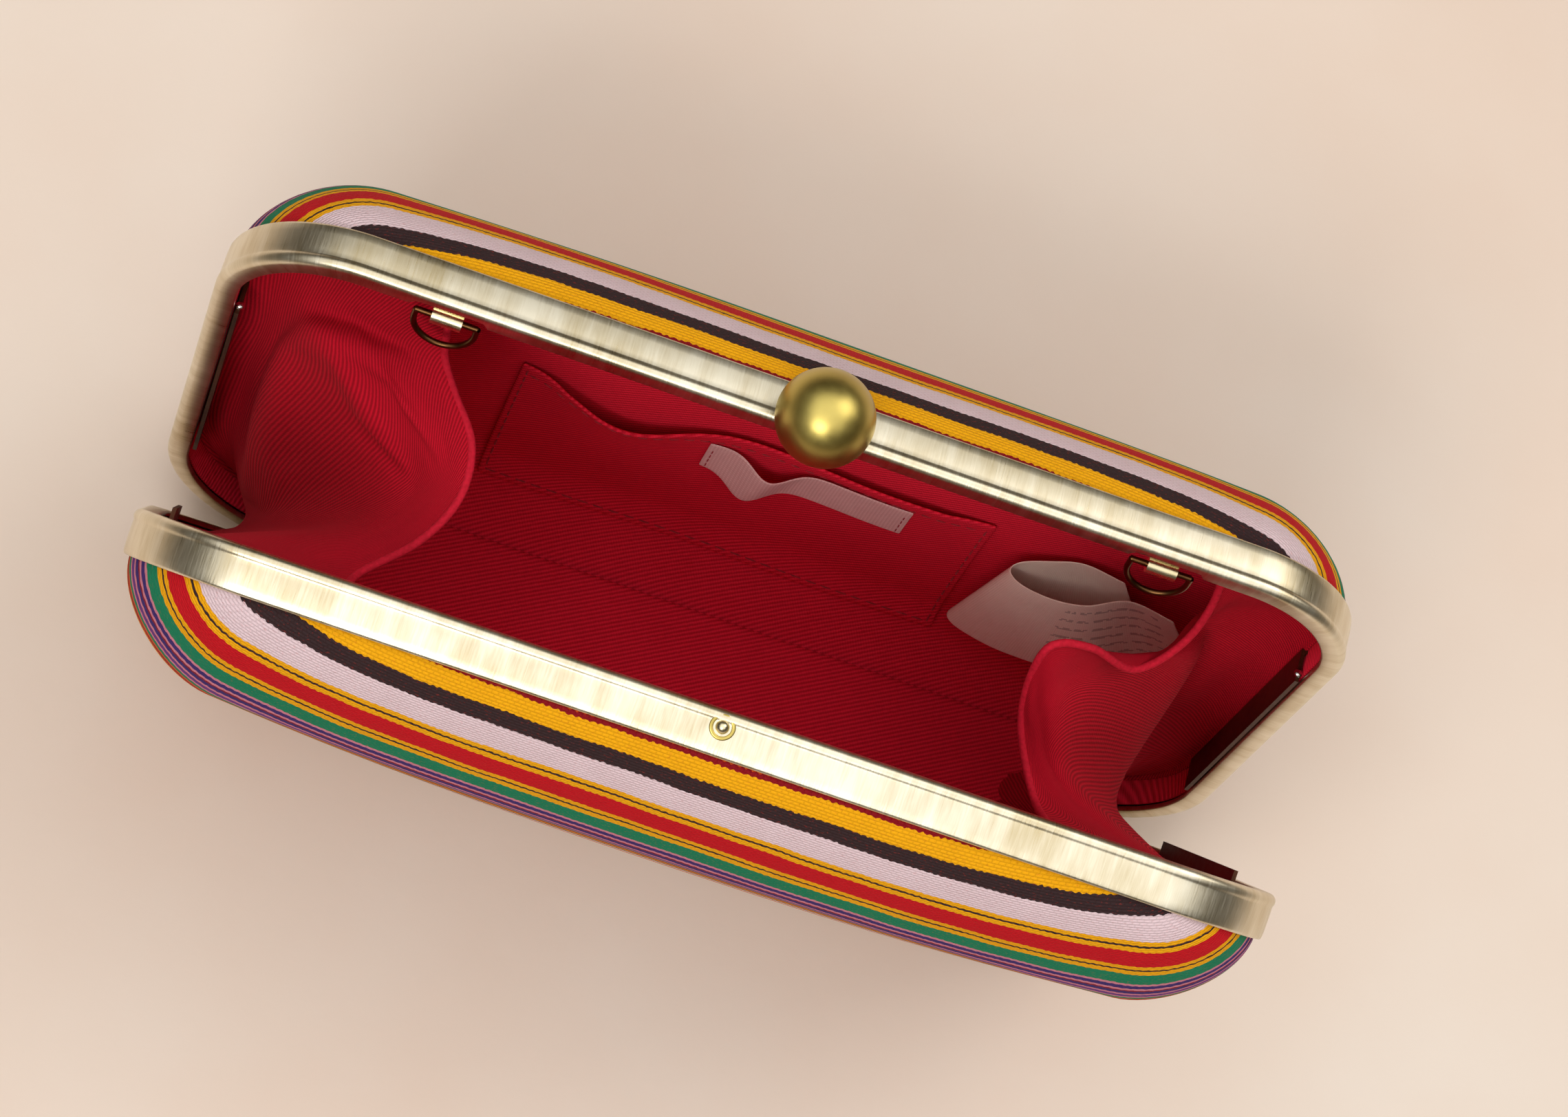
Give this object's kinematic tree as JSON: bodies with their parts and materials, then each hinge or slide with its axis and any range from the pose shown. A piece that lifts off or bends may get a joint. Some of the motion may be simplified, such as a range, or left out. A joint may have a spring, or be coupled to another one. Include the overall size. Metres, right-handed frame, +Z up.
{
  "type": "box clutch bag",
  "caption": "Hard-shell box clutch bag with striped cloth covers, hinged brass frames, ball clasp, lining gussets and fold-away chain loops.",
  "frame": {"origin": "centre of the ground the open bag stands on, under the hinge line", "axes": "+X along the hinge line, -Y towards the half that opens, +Z up"},
  "size_m": [0.2, 0.0932, 0.1327],
  "materials": {
    "antique_brass": "brushed antique brass",
    "stiff_core": "moulded board",
    "striped_cloth": "woven stripes",
    "red_twill": "brushed cotton twill",
    "woven_tape": "woven tape",
    "label_ribbon": "satin ribbon",
    "dark_bronze": "dark bronze",
    "inner_steel": "plated"
  },
  "bodies": {
    "rear_half": {"rear_frame": "antique_brass", "rear_shell": "stiff_core", "rear_cover": "striped_cloth", "rear_lining": "red_twill", "rear_grip_strip_left": "antique_brass", "rear_grip_strip_right": "antique_brass", "slip_pocket": "red_twill", "woven_label": "woven_tape", "care_label": "label_ribbon", "clasp_ball": "antique_brass", "clasp_stem": "antique_brass", "clasp_washer": "inner_steel", "loop_tab_left": "antique_brass", "loop_tab_right": "antique_brass", "rear_hinge_leaf_left": "inner_steel", "rear_hinge_leaf_right": "inner_steel", "rear_hinge_rivets": "inner_steel", "hinge_pin_left": "inner_steel", "hinge_pin_right": "inner_steel", "left_gusset": "red_twill", "right_gusset": "red_twill", "hinge_lining": "red_twill"},
    "front_half": {"front_frame": "antique_brass", "front_shell": "stiff_core", "front_cover": "striped_cloth", "front_lining": "red_twill", "front_grip_strip_left": "antique_brass", "front_grip_strip_right": "antique_brass", "front_hinge_leaf_left": "inner_steel", "front_hinge_leaf_right": "inner_steel", "front_hinge_rivets": "inner_steel", "catch_spring": "inner_steel", "catch_bracket": "inner_steel"},
    "chain_loop_left": {"chain_loop_left": "dark_bronze"},
    "chain_loop_right": {"chain_loop_right": "dark_bronze"},
    "catch_stud": {"catch_stud": "antique_brass"}
  },
  "joints": [
    {"name": "lid_hinge", "type": "hinge", "parent": "rear_half", "child": "front_half", "pos_m": [0, 0, 0.00189], "axis": [1, 0, 0], "range_deg": [-23, 22], "deforming": ["left_gusset", "right_gusset", "hinge_lining"]},
    {"name": "chain_loop_left_swing", "type": "hinge", "parent": "rear_half", "child": "chain_loop_left", "pos_m": [-0.0625, 0.02347, 0.11223], "axis": [-1, 0, 0], "range_deg": [-20, 120]},
    {"name": "chain_loop_right_swing", "type": "hinge", "parent": "rear_half", "child": "chain_loop_right", "pos_m": [0.0625, 0.02347, 0.11223], "axis": [-1, 0, 0], "range_deg": [-20, 120]},
    {"name": "catch_stud_press", "type": "slide", "parent": "front_half", "child": "catch_stud", "axis": [0, 0.1994, -0.9799], "range_m": [0, 0.0009], "stiffness_N_per_m": 600, "springref_m": -0.0006, "deforming": ["catch_spring"]}
  ]
}
